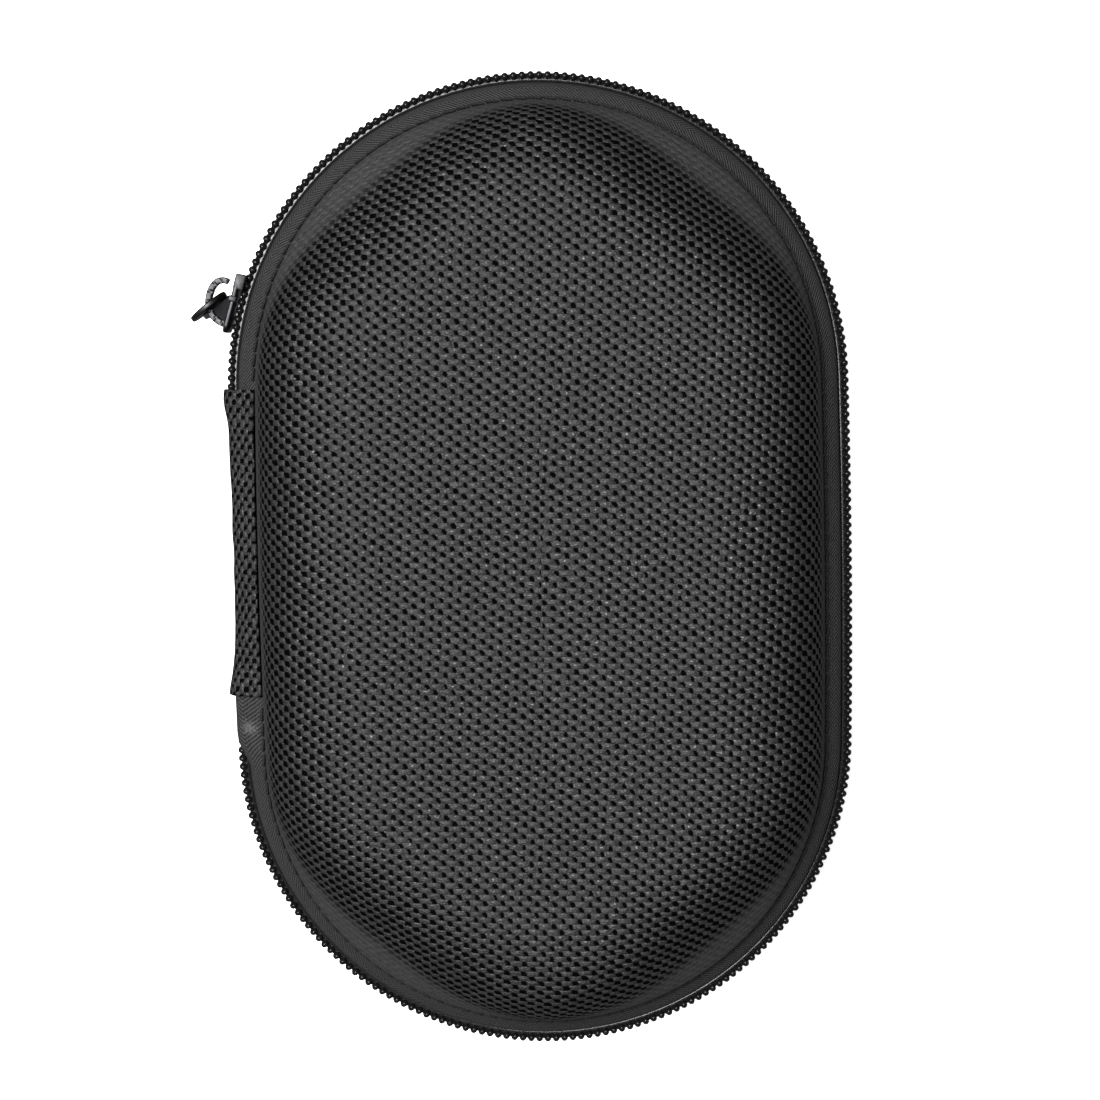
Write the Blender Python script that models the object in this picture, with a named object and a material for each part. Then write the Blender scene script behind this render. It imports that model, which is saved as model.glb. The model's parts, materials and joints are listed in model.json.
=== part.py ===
"""A hard-shell headphone carrying case: two moulded halves, a coil zip round them and a fabric spine.

The case lies flat on its base with the lid up. The origin is the middle of the base's flat underside,
+Y runs along the case and the spine is on the -X side. Every length below is in metres.
Insets are measured inwards from the outer face of the zip coil, and heights from the zip plane.
"""

import math

import bmesh
import bpy
from mathutils import Matrix, Vector

MM = 0.001

# The outline at the zip: two round ends joined by flanks that bow out a little.
LENGTH = 162.2 * MM
WIDTH = 103.2 * MM
FLANK_RADIUS = 1500 * MM
BASE_HEIGHT = 22.5 * MM
LID_HEIGHT = 22.5 * MM
END_STEPS = 16
FLANK_STEPS = 2

# The laminated shell: nylon outside, foam in the middle, knitted lining inside.
FABRIC = 0.6 * MM
FOAM = 2.6 * MM
LINING = 0.4 * MM
GAP = 0.3 * MM
RIM_INSET = 5.0 * MM
RIM_HEIGHT = 5.8 * MM
CORNER_INSET = 4.0 * MM
CORNER_ANGLE = 50.0
CORNER_SPREAD = 45.0

# The dome from its rim to its flat: run inwards, share of the rise, share of the corner inset.
DOME = (
    (0.0 * MM, 0.0, 0.0),
    (0.0 * MM, 0.11, 0.0),
    (0.9 * MM, 0.32, 0.45),
    (2.4 * MM, 0.53, 0.8),
    (4.2 * MM, 0.67, 1.0),
    (6.4 * MM, 0.785, 1.0),
    (9.2 * MM, 0.87, 0.9),
    (12.4 * MM, 0.94, 0.8),
    (17.0 * MM, 1.0, 0.7),
)

# The zip: half the space between the coils, the coil's section and the tape behind it.
COIL_SPACE = 0.55 * MM
COIL_DEPTH = 1.35 * MM
COIL_HEIGHT = 1.9 * MM
TAPE = 0.5 * MM
TAPE_BEND = 0.45 * MM
TAPE_TUCK = 0.1 * MM
SEAM_SETBACK = 0.7 * MM
THREAD = 0.6 * MM
THREAD_LIFT = 0.1 * MM
BINDING = 0.5 * MM
BINDING_REACH = 4.0 * MM
BINDING_SHARE = 0.6

# The spine: a fabric cover outside the zip's ends, and a strip of lining behind it.
SPINE_TOP = 28.7 * MM
SPINE_BOTTOM = -22.3 * MM
SPINE_STEPS = 6
SPINE_FABRIC = 0.6 * MM
SPINE_SLIT = 0.15 * MM
SPINE_SHOULDER = 3.3 * MM
SPINE_LIFT = 0.05 * MM
SPINE_STRIP = 0.5 * MM
STRIP_CLEARANCE = 0.5 * MM
TAPE_OVERLAP = 3.0 * MM
COIL_START = -30.0 * MM

# The mesh pocket across the lid, open at one end under an elastic hem.
POCKET_MESH = 0.6 * MM
POCKET_HEIGHT = 5.0 * MM
HEM_Y = 24.0 * MM
HEM_WIDTH = 6.0 * MM
HEM_THICKNESS = 1.2 * MM

# The slider, at its closed end of the zip, and the pull that hangs from its crown.
SLIDER_ANGLE = 163.9
SLIDER_LENGTH = 10.0 * MM
SLIDER_HEIGHT = 7.8 * MM
SLIDER_TAIL_HEIGHT = 5.8 * MM
SLIDER_PLATE = 0.9 * MM
SLIDER_CLEARANCE = 0.95 * MM
SLIDER_LIP = 0.8 * MM
SLIDER_LIP_REACH = 1.85 * MM
SLIDER_LIP_START = 0.3 * MM
SLIDER_LIP_SETBACK = 1.2 * MM
INNER_PLATE_HEIGHT = 5.0 * MM
INNER_PLATE_TAPER = 2.0 * MM
INNER_PLATE_SETBACK = 0.5 * MM
INNER_PLATE_CLEARANCE = 0.5 * MM
POST_LENGTH = 2.0 * MM
POST_START = 2.0 * MM
CROWN_REACH = 3.3 * MM
CROWN_LENGTH = 6.4 * MM
CROWN_WIRE = 0.8 * MM
CROWN_WIDTH = 2.4 * MM
# The crown's C from its foot to its tip, as shares of its reach and of half its length. The pull hangs at the pivot.
CROWN_BENDS = ((0.84, 0.62), (1.0, 0.06), (0.97, -0.6), (0.76, -1.0), (0.36, -1.04))
PIVOT_SHARE = (0.92, 0.5)
PULL_YAW = 54.0
PULL_EYE_RADIUS = 1.8 * MM
PULL_HEAD_RADIUS = 3.6 * MM
PULL_LENGTH = 18.0 * MM
PULL_WAIST = 4.4 * MM
PULL_TOE = 6.0 * MM
PULL_THICKNESS = 0.9 * MM

BLACK_NYLON = ((0.042, 0.042, 0.044), 0.62, 0.0)
BLACK_FOAM = ((0.03, 0.03, 0.032), 0.85, 0.0)
GREY_KNIT = ((0.07, 0.07, 0.075), 0.9, 0.0)
BLACK_TAPE = ((0.03, 0.03, 0.031), 0.75, 0.0)
BLACK_COIL = ((0.02, 0.02, 0.021), 0.3, 0.0)
BLACK_THREAD = ((0.025, 0.025, 0.026), 0.6, 0.0)
BLACK_MESH = ((0.03, 0.03, 0.03), 0.8, 0.0)
DARK_NICKEL = ((0.09, 0.09, 0.095), 0.22, 1.0)

# The ends' centres and radius follow from the length, the width and the flank's bow.
FLANK_CENTRE = FLANK_RADIUS - WIDTH / 2
END_CENTRE = (FLANK_CENTRE**2 - (FLANK_RADIUS - LENGTH / 2) ** 2) / (2 * (FLANK_RADIUS - LENGTH / 2))
END_RADIUS = LENGTH / 2 - END_CENTRE
TANGENT_ANGLE = math.degrees(math.atan2(END_CENTRE, FLANK_CENTRE))
HINGE_INSET = -(GAP + SPINE_FABRIC)
TAPE_FACE = COIL_DEPTH + GAP
UP, DOWN = 1, -1


def end_station(end, angle):
    """A place on the +Y end (end 1) or the -Y end (end -1): its point, outward direction and corner weight."""
    turn = math.radians(angle)
    outward = Vector((math.cos(turn), math.sin(turn)))
    slope = math.degrees(math.asin(min(1.0, abs(outward.y))))
    off = min(1.0, abs(slope - CORNER_ANGLE) / CORNER_SPREAD)
    return Vector((0, end * END_CENTRE)) + END_RADIUS * outward, outward, math.cos(off * math.pi / 2) ** 2


def flank_station(side, y):
    """A place on the +X flank (side 1) or the -X flank (side -1), where y is along the case."""
    turn = math.asin(y / FLANK_RADIUS)
    outward = Vector((side * math.cos(turn), math.sin(turn)))
    return Vector((-side * FLANK_CENTRE, 0)) + FLANK_RADIUS * outward, outward, 0.0


def steps(first, last, count):
    return [first + (last - first) * i / count for i in range(count + 1)]


def end_stations(end):
    first = TANGENT_ANGLE if end > 0 else 180 + TANGENT_ANGLE
    return [end_station(end, angle) for angle in steps(first, first + 180 - 2 * TANGENT_ANGLE, END_STEPS)]


def flank_stations(side, first, last, count):
    return [flank_station(side, y) for y in steps(first, last, count)]


def tangent_y():
    return FLANK_RADIUS * math.sin(math.radians(TANGENT_ANGLE))


def ring_stations():
    """All the way round, anticlockwise from above, starting where the +X flank meets the +Y end."""
    left = flank_stations(-1, tangent_y(), -tangent_y(), FLANK_STEPS)[1:-1]
    right = flank_stations(1, -tangent_y(), tangent_y(), FLANK_STEPS)[1:-1]
    return end_stations(1) + left + end_stations(-1) + right


def track_stations(start_y, stop_y):
    """From the -X flank at start_y, round the -Y end, the +X flank and the +Y end, to the -X flank at stop_y."""
    right = flank_stations(1, -tangent_y(), tangent_y(), FLANK_STEPS)[1:-1]
    return [flank_station(-1, start_y), *end_stations(-1), *right, *end_stations(1), flank_station(-1, stop_y)]


def place(station, inset, height, half):
    """The point in space at an inset and a height, above the zip plane for the lid and below it for the base."""
    point, outward, _ = station
    flat = point - outward * inset
    return Vector((flat.x, flat.y, BASE_HEIGHT + half * height))


def moved_in(line, depth):
    """An open line moved sideways by depth with mitred corners. Its first end is upright and its last is level."""
    moved = []
    for i, point in enumerate(line):
        before = (point - line[i - 1]).normalized() if i else Vector((0, 1))
        after = (line[i + 1] - point).normalized() if i + 1 < len(line) else Vector((1, 0))
        along = (before + after).normalized()
        normal = Vector((along.y, -along.x))
        moved.append(point + normal * (depth / normal.dot(Vector((before.y, -before.x)))))
    return moved


def dome_line(station, height, depth):
    """The dome's section at a station, as (inset, height) points, at a depth below its outer face."""
    rise = height - RIM_HEIGHT
    corner = station[2] * CORNER_INSET
    line = [Vector((RIM_INSET + run + corner * cut, RIM_HEIGHT + rise * up)) for run, up, cut in DOME]
    return moved_in(line, depth)


def material(name, finish):
    colour, roughness, metallic = finish
    made = bpy.data.materials.get(name) or bpy.data.materials.new(name)
    made.use_nodes = True
    shader = made.node_tree.nodes["Principled BSDF"]
    shader.inputs["Base Color"].default_value = (*colour, 1)
    shader.inputs["Roughness"].default_value = roughness
    shader.inputs["Metallic"].default_value = metallic
    made.diffuse_color = (*colour, 1)
    return made


def finished(bm, name, finish, axis=None, smooth=30.0):
    """The bmesh as an object of this name, riding on the empty of its joint."""
    bmesh.ops.recalc_face_normals(bm, faces=bm.faces)
    mesh = bpy.data.meshes.new(name)
    bm.to_mesh(mesh)
    bm.free()
    mesh.shade_smooth()
    mesh.set_sharp_from_angle(angle=math.radians(smooth))
    mesh.materials.append(material(name, finish))
    made = bpy.data.objects.new(name, mesh)
    bpy.context.collection.objects.link(made)
    if axis:
        made.parent = axis
        made.matrix_parent_inverse = axis.matrix_world.inverted()
    return made


def skin(bm, rows, closed):
    """Joins rows of points, each a closed loop, with faces. The first and last are capped unless they join up."""
    loops = [[bm.verts.new(point) for point in row] for row in rows]
    pairs = list(zip(loops, loops[1:]))
    if closed:
        pairs.append((loops[-1], loops[0]))
    else:
        bm.faces.new(loops[0])
        bm.faces.new(loops[-1])
    for one, other in pairs:
        for i in range(len(one)):
            bm.faces.new((one[i - 1], one[i], other[i], other[i - 1]))


def shell(name, finish, height, half, depth, thickness, axis=None):
    """One layer of a moulded half, from depth below the dome's outer face to depth + thickness."""
    stations = ring_stations()
    outer = [dome_line(station, height, depth) for station in stations]
    inner = [dome_line(station, height, depth + thickness) for station in stations]
    order = [(outer, k) for k in reversed(range(len(DOME)))] + [(inner, k) for k in range(len(DOME))]
    rows = [[place(s, *line[k], half) for s, line in zip(stations, lines)] for lines, k in order]
    bm = bmesh.new()
    skin(bm, rows, closed=False)
    return finished(bm, name, finish, axis)


def band(name, finish, stations, sections, half, closed, axis=None):
    """A strip carried along the stations, with its section at each one as (inset, height) corners."""
    rows = [[place(s, *corner, half) for corner in section] for s, section in zip(stations, sections)]
    bm = bmesh.new()
    skin(bm, rows, closed)
    return finished(bm, name, finish, axis)


def coil_section():
    top = COIL_SPACE + COIL_HEIGHT
    return ((0, COIL_SPACE), (0, top), (COIL_DEPTH, top), (COIL_DEPTH, COIL_SPACE))


def tape_section():
    """Upright behind the coil, then sloping in to the seam and tucked under the shell's rim."""
    bend = COIL_SPACE + COIL_HEIGHT + TAPE_BEND
    back = TAPE_FACE + TAPE
    top = RIM_HEIGHT - 2 * GAP
    seam = RIM_INSET - SEAM_SETBACK
    end = RIM_INSET + FABRIC + FOAM + TAPE_TUCK
    return (
        (TAPE_FACE, COIL_SPACE),
        (TAPE_FACE, bend),
        (seam, top),
        (end, top),
        (end, top - TAPE),
        (seam + TAPE / 3, top - TAPE),
        (back, bend - TAPE / 3),
        (back, COIL_SPACE),
    )


def thread_section():
    """The lockstitch that closes the seam, in the groove outside the shell's rim."""
    inset = RIM_INSET - GAP - THREAD
    bottom = RIM_HEIGHT - GAP + THREAD_LIFT
    return ((inset, bottom), (inset, bottom + THREAD), (inset + THREAD, bottom + THREAD), (inset + THREAD, bottom))


def binding_depth():
    """How deep the binding's back lies below the dome's outer face, just inside the lining."""
    return FABRIC + FOAM + LINING + 3 * GAP


def binding_foot():
    """The inset of the binding's outer edge, under the rim."""
    return RIM_INSET + binding_depth() + BINDING - BINDING_REACH


def binding_section(station, height):
    """An L under the rim and up the lining, following the lining's lean."""
    back = dome_line(station, height, binding_depth())
    face = dome_line(station, height, binding_depth() + BINDING)
    under = RIM_HEIGHT - 3 * GAP - TAPE
    foot = binding_foot()
    return (
        (foot, under - BINDING),
        (foot, under),
        (back[0].x, under),
        tuple(back[1]),
        tuple(back[1].lerp(back[2], BINDING_SHARE)),
        tuple(face[1].lerp(face[2], BINDING_SHARE)),
        tuple(face[1]),
        (face[0].x, under - BINDING),
    )


def spine_section():
    """Upright outside the coil, then sloping in over the tape to the shell's rim."""
    face = HINGE_INSET
    back = HINGE_INSET + SPINE_FABRIC
    seam = RIM_INSET - SEAM_SETBACK
    low = RIM_HEIGHT - GAP + SPINE_LIFT
    return (
        (face, SPINE_SLIT),
        (face, SPINE_SHOULDER + SPINE_FABRIC / 3),
        (seam - SPINE_FABRIC / 3, low + SPINE_FABRIC),
        (seam, low + SPINE_FABRIC / 2),
        (seam, low),
        (back, SPINE_SHOULDER),
        (back, SPINE_SLIT),
    )


def strip_section():
    """The strip of lining behind the spine, just outside the binding's outer edge."""
    inset = binding_foot() - STRIP_CLEARANCE - SPINE_STRIP
    top = RIM_HEIGHT - 4 * GAP - TAPE - BINDING
    return ((inset, SPINE_SLIT), (inset, top), (inset + SPINE_STRIP, top), (inset + SPINE_STRIP, SPINE_SLIT))


def half_case(prefix, zip_word, height, half, axis=None):
    """One half of the case: its shell layers, binding, zip tape and coil, seam thread and spine pieces."""
    shell(f"{prefix}_outer_fabric", BLACK_NYLON, height, half, 0, FABRIC, axis)
    shell(f"{prefix}_eva_core", BLACK_FOAM, height, half, FABRIC + GAP, FOAM, axis)
    shell(f"{prefix}_lining", GREY_KNIT, height, half, FABRIC + FOAM + 2 * GAP, LINING, axis)
    ring = ring_stations()
    binding = [binding_section(station, height) for station in ring]
    band(f"{prefix}_binding", BLACK_TAPE, ring, binding, half, True, axis)

    tape = track_stations(SPINE_BOTTOM + TAPE_OVERLAP, SPINE_TOP - TAPE_OVERLAP)
    coil = track_stations(COIL_START, SPINE_TOP - TAPE_OVERLAP)
    thread = track_stations(SPINE_BOTTOM - GAP, SPINE_TOP + GAP)
    spine = flank_stations(-1, SPINE_TOP, SPINE_BOTTOM, SPINE_STEPS)
    for name, finish, stations, section in (
        (f"{zip_word}_zip_tape", BLACK_TAPE, tape, tape_section()),
        (f"{zip_word}_zip_coil", BLACK_COIL, coil, coil_section()),
        (f"{prefix}_seam_thread", BLACK_THREAD, thread, thread_section()),
        (f"spine_cover_{prefix}", BLACK_NYLON, spine, spine_section()),
        (f"spine_lining_{prefix}", GREY_KNIT, spine, strip_section()),
    ):
        band(name, finish, stations, [section] * len(stations), half, False, axis)


def pocket(axis):
    """A mesh panel sewn across the lid inside its binding, and the elastic hem along its open edge."""
    inset = RIM_INSET + FABRIC + FOAM + LINING + 4 * GAP + BINDING
    left = flank_stations(-1, HEM_Y, -tangent_y(), FLANK_STEPS)[:-1]
    right = flank_stations(1, -tangent_y(), HEM_Y, FLANK_STEPS)[1:]
    edge = [*left, *end_stations(-1), *right]
    rows = [[place(s, inset, height, UP) for s in edge] for height in (POCKET_HEIGHT, POCKET_HEIGHT + POCKET_MESH)]
    bm = bmesh.new()
    skin(bm, rows, closed=False)
    finished(bm, "mesh_pocket", BLACK_MESH, axis)

    middle = HEM_Y + GAP + HEM_WIDTH / 2
    across = 2 * (flank_station(1, HEM_Y + HEM_WIDTH)[0].x - inset - GAP)
    bm = bmesh.new()
    bmesh.ops.create_cube(bm, size=1)
    bmesh.ops.scale(bm, vec=(across, HEM_WIDTH, HEM_THICKNESS), verts=bm.verts)
    level = BASE_HEIGHT + POCKET_HEIGHT + POCKET_MESH / 2
    bmesh.ops.translate(bm, vec=(0, middle, level), verts=bm.verts)
    bmesh.ops.bevel(
        bm,
        geom=bm.edges,
        offset=HEM_THICKNESS / 4,
        offset_type="OFFSET",
        affect="EDGES",
        segments=1,
        profile=0.5,
        material=-1,
    )
    finished(bm, "pocket_elastic_hem", BLACK_TAPE, axis)


def slab(outline, low, high, turn):
    """A bmesh of a flat outline between two levels, turned by a matrix."""
    bm = bmesh.new()
    skin(bm, [[turn @ Vector((x, y, level)) for x, y in outline] for level in (low, high)], closed=False)
    return bm


def plate_outline(height, tail, length):
    """A plate seen face on: full height towards the nose and narrower at the tail."""
    half = length / 2
    corner = SLIDER_PLATE
    return (
        (-half, -tail / 2 + corner),
        (-half + corner, -tail / 2),
        (0, -height / 2),
        (half - corner, -height / 2),
        (half, -height / 2 + corner),
        (half, height / 2 - corner),
        (half - corner, height / 2),
        (0, height / 2),
        (-half + corner, tail / 2),
        (-half, tail / 2 - corner),
    )


def crown_outline():
    """The C of the crown in plan, thick as its wire, from its foot round to its free tip."""
    reach = CROWN_REACH
    half = CROWN_LENGTH / 2
    line = (
        (-SLIDER_PLATE / 2, half + CROWN_WIRE),
        (reach / 2, half + CROWN_WIRE / 2),
        *((reach * out, half * up) for out, up in CROWN_BENDS),
    )
    path = [Vector(point) for point in line]
    sides = ([], [])
    for i, point in enumerate(path):
        along = (path[min(i + 1, len(path) - 1)] - path[max(i - 1, 0)]).normalized()
        across = Vector((along.y, -along.x)) * CROWN_WIRE / 2
        sides[0].append(point + across)
        sides[1].append(point - across)
    return [*sides[0], *reversed(sides[1])]


def slider(axis):
    """The slider body: outer plate, lower lip, crown, dividing post and inner plate, in one casting."""
    point, outward, _ = end_station(1, SLIDER_ANGLE)
    stand = Matrix.Translation((point.x, point.y, BASE_HEIGHT)) @ Matrix.Rotation(
        math.radians(SLIDER_ANGLE), 4, "Z"
    )
    # In the slider's own space X points away from the case, Y along the zip to the nose, Z up.
    face_on = Matrix(((0, 0, 1, 0), (1, 0, 0, 0), (0, 1, 0, 0), (0, 0, 0, 1)))
    outer_face = SLIDER_CLEARANCE + SLIDER_PLATE
    inner_face = -(TAPE_FACE + TAPE + INNER_PLATE_CLEARANCE)
    half = SLIDER_HEIGHT / 2
    post = 2 * (COIL_SPACE - GAP)
    lip_end = SLIDER_CLEARANCE - SLIDER_LIP_REACH
    overlap = SLIDER_PLATE / 3
    shapes = {
        "plate": slab(
            plate_outline(SLIDER_HEIGHT, SLIDER_TAIL_HEIGHT, SLIDER_LENGTH), SLIDER_CLEARANCE, outer_face, face_on
        ),
        "inner_plate": slab(
            plate_outline(
                INNER_PLATE_HEIGHT, INNER_PLATE_HEIGHT - INNER_PLATE_TAPER, SLIDER_LENGTH - 2 * INNER_PLATE_SETBACK
            ),
            inner_face - SLIDER_PLATE,
            inner_face,
            face_on,
        ),
        "lip": slab(
            (
                (lip_end, -half),
                (SLIDER_CLEARANCE + overlap, -half),
                (SLIDER_CLEARANCE + overlap, -half + SLIDER_LIP),
                (lip_end, -half + SLIDER_LIP),
            ),
            SLIDER_LIP_START,
            SLIDER_LENGTH / 2 - SLIDER_LIP_SETBACK,
            Matrix(((1, 0, 0, 0), (0, 0, 1, 0), (0, 1, 0, 0), (0, 0, 0, 1))),
        ),
        "post": slab(
            (
                (inner_face - overlap, POST_START),
                (SLIDER_CLEARANCE + overlap, POST_START),
                (SLIDER_CLEARANCE + overlap, POST_START + POST_LENGTH),
                (inner_face - overlap, POST_START + POST_LENGTH),
            ),
            -post / 2,
            post / 2,
            Matrix.Identity(4),
        ),
        "crown": slab(crown_outline(), -CROWN_WIDTH / 2, CROWN_WIDTH / 2, Matrix.Translation((outer_face, 0, 0))),
    }
    body = None
    for word, bm in shapes.items():
        bmesh.ops.transform(bm, matrix=stand, verts=bm.verts)
        made = finished(bm, "slider_body" if body is None else f"slider_{word}_shape", DARK_NICKEL, axis)
        if body is None:
            body = made
            continue
        made.hide_render = True
        made.display_type = "WIRE"
        union = body.modifiers.new(word, "BOOLEAN")
        union.operation = "UNION"
        union.solver = "EXACT"
        union.object = made
    return stand, outer_face


def pull_outline():
    """The pull face on: a round head about the eye, a waist and a wider rounded toe."""
    waist, toe = PULL_WAIST / 2, PULL_TOE / 2
    foot = PULL_HEAD_RADIUS - PULL_LENGTH
    turn = math.asin(waist / PULL_HEAD_RADIUS)
    head = steps(-math.pi / 2 + turn, 3 * math.pi / 2 - turn, 14)
    outline = [(PULL_HEAD_RADIUS * math.cos(a), PULL_HEAD_RADIUS * math.sin(a)) for a in head]
    outline += [(-waist, foot * 0.45), (-toe, foot + toe)]
    outline += [(toe * math.cos(a), foot + toe + toe * math.sin(a)) for a in steps(math.pi, 2 * math.pi, 8)[1:-1]]
    return outline + [(toe, foot + toe), (waist, foot * 0.45)]


def pull(axis, pivot, swing):
    """The pull tab, hanging edge on to the case from the crown through its round eye."""
    # Its own space: X across the pull and away from the case, Y up, Z through its thickness.
    stand = Matrix.Translation(pivot) @ Matrix.Rotation(swing, 4, "Z") @ Matrix.Rotation(math.pi / 2, 4, "X")
    bm = slab(pull_outline(), -PULL_THICKNESS / 2, PULL_THICKNESS / 2, stand)
    tab = finished(bm, "pull_tab", DARK_NICKEL, axis)
    eye = [(PULL_EYE_RADIUS * math.cos(a), PULL_EYE_RADIUS * math.sin(a)) for a in steps(0, 2 * math.pi, 16)[:-1]]
    cutter = finished(slab(eye, -PULL_THICKNESS, PULL_THICKNESS, stand), "pull_eye_shape", DARK_NICKEL, axis)
    cutter.hide_render = True
    cutter.display_type = "WIRE"
    cut = tab.modifiers.new("eye", "BOOLEAN")
    cut.operation = "DIFFERENCE"
    cut.solver = "EXACT"
    cut.object = cutter


def empty(name, position, parent=None):
    made = bpy.data.objects.new(name, None)
    bpy.context.collection.objects.link(made)
    made.location = position
    if parent:
        made.parent = parent
        made.matrix_parent_inverse = parent.matrix_world.inverted()
    bpy.context.view_layer.update()
    return made


def main():
    for old in list(bpy.data.objects):
        bpy.data.objects.remove(old)

    half_case("base", "lower", BASE_HEIGHT, DOWN)
    hinge = empty("lid_hinge_axis", (flank_station(-1, 0)[0].x + HINGE_INSET, 0, BASE_HEIGHT))
    half_case("lid", "upper", LID_HEIGHT, UP, hinge)
    pocket(hinge)

    travel = empty("slider_travel_axis", (0, END_CENTRE, BASE_HEIGHT))
    stand, outer_face = slider(travel)
    out, up = PIVOT_SHARE
    pivot = stand @ Vector((outer_face + CROWN_REACH * out, CROWN_LENGTH / 2 * up, 0))
    swing = empty("pull_swing_axis", pivot, travel)
    pull(swing, pivot, math.radians(SLIDER_ANGLE + PULL_YAW))


main()
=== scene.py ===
"""A hard-shell headphone carrying case: the finished looks of every piece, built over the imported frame.

Insets are measured inwards from the outer face of the zip coil and heights from the zip plane, up for the lid
and down for the base. Lengths are in metres, and the cloth's own coordinates are in millimetres.
"""

import json
import math

import bmesh
import bpy
from mathutils import Matrix, Vector, noise


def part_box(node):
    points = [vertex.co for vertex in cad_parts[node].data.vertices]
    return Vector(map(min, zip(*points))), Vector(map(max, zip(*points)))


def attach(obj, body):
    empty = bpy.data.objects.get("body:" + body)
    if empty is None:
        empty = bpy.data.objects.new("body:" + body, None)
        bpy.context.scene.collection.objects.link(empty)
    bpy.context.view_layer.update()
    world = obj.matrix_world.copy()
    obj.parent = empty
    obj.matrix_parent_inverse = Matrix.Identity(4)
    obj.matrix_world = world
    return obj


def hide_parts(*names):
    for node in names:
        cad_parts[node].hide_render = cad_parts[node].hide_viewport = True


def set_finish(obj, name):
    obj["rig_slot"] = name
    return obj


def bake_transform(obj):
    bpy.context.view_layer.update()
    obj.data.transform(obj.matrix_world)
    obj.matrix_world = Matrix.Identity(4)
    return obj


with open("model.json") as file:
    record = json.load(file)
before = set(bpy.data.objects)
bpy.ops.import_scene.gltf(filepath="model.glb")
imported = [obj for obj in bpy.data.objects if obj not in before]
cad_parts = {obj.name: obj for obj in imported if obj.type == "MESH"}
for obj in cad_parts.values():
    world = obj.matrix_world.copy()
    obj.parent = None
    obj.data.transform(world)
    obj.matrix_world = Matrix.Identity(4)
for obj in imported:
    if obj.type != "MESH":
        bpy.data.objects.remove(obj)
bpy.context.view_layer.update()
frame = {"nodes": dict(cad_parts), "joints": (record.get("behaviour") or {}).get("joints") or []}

bl_info = {
    "name": "Headphone carrying case",
    "version": (1, 0, 0),
    "blender": (4, 5, 0),
    "location": "View3D > Sidebar > Case",
    "description": "Builds the fabric, zip, slider, lining and pocket of a moulded carrying case",
    "category": "Object",
}

MM = 0.001
UP, DOWN = 1, -1
HALVES = (("lid", "upper", UP), ("base", "lower", DOWN))

# The outline, the zip plane and the hinge come from the frame.
PIVOTS = {joint["name"]: Vector(joint["pos_m"]) for joint in frame["joints"]}
ZIP_Z = PIVOTS["lid_hinge"].z
END_CENTRE = PIVOTS["slider_travel"].y
HALF_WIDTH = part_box("upper_zip_coil")[1].x
HALF_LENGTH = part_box("upper_zip_coil")[1].y
END_RADIUS = HALF_LENGTH - END_CENTRE
FLANK_RADIUS = (HALF_WIDTH**2 + END_CENTRE**2 - END_RADIUS**2) / (2 * (HALF_WIDTH - END_RADIUS))
FLANK_CENTRE = FLANK_RADIUS - HALF_WIDTH
TANGENT = math.atan2(END_CENTRE, FLANK_CENTRE)
FLANK_RUN = FLANK_RADIUS * TANGENT
END_RUN = END_RADIUS * (math.pi - 2 * TANGENT)
ROUND = 4 * FLANK_RUN + 2 * END_RUN
RIM_INSET = HALF_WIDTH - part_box("lid_outer_fabric")[1].x
RIM_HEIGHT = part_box("lid_outer_fabric")[0].z - ZIP_Z
DOME_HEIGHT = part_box("lid_outer_fabric")[1].z - ZIP_Z
SPINE_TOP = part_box("spine_cover_lid")[1].y
SPINE_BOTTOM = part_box("spine_cover_lid")[0].y
# The sewn cover sits this far up the flank from its place in the frame.
SPINE_SHIFT = 1.4 * MM

# The moulding, as the frame has it: run inwards, share of the rise, share of the corner inset.
DOME = (
    (0.0, 0.0, 0.0),
    (0.0, 0.11, 0.0),
    (0.9, 0.32, 0.45),
    (2.4, 0.53, 0.8),
    (4.2, 0.67, 1.0),
    (6.4, 0.785, 1.0),
    (9.2, 0.87, 0.9),
    (12.4, 0.94, 0.8),
    (17.0, 1.0, 0.7),
)
CORNER_INSET = 4.0 * MM
CORNER_ANGLE = 50.0
CORNER_SPREAD = 45.0
# The wall's pressed foot reaches this many millimetres higher in a corner.
CORNER_FALL = 2.5
FABRIC = 0.6 * MM
LINING_DEPTH = 3.8 * MM
LINING = 0.4 * MM
BINDING_DEPTH = 4.5 * MM
BINDING = 0.5 * MM
STRIP = 0.45 * MM
# On the lower flank the tape's end is folded outwards between these places along the case, in millimetres.
FOLD_START, FOLD_END, FOLD_OUT = -33.0, -17.6, 1.9
# The worn spot beside it, in the tape's own coordinates with the first drawn in to 0.7.
WORN_SPOT = (18.4, 4.3, 0)
SLIDER_ANGLE = math.radians(163.9)
SLIDER_WAY = Vector((math.cos(SLIDER_ANGLE), math.sin(SLIDER_ANGLE), 0))
SLIDER_PLACE = PIVOTS["slider_travel"] + END_RADIUS * SLIDER_WAY
WELD = 2e-5


def length(name, description, default):
    return bpy.props.FloatProperty(
        name=name, description=description, default=default, unit="LENGTH", precision=5
    )


def turn(name, description, degrees):
    default = math.radians(degrees)
    return bpy.props.FloatProperty(name=name, description=description, default=default, subtype="ANGLE")


def colour(name, description, *value):
    return bpy.props.FloatVectorProperty(
        name=name, description=description, default=value, subtype="COLOR", min=0, max=1
    )


class CaseSizes(bpy.types.PropertyGroup):
    weave_repeat: length("Weave repeat", "Length of one float and its gap", 2.81 * MM)
    weave_row: length("Weave row", "Height of one row of floats", 0.921 * MM)
    weave_lean: turn("Weave lean", "How far the columns of gaps lean", 4.5)
    weave_skew: turn("Weave skew", "How far the rows turn from square", 1.9)
    tooth_pitch: length("Tooth pitch", "Distance between two teeth of one coil", 1.42 * MM)
    stitch: length("Stitch", "Length of one stitch of the seam", 2.6 * MM)
    mesh_cell: length("Mesh cell", "Width of one opening of the pocket's mesh", 2.0 * MM)


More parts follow.
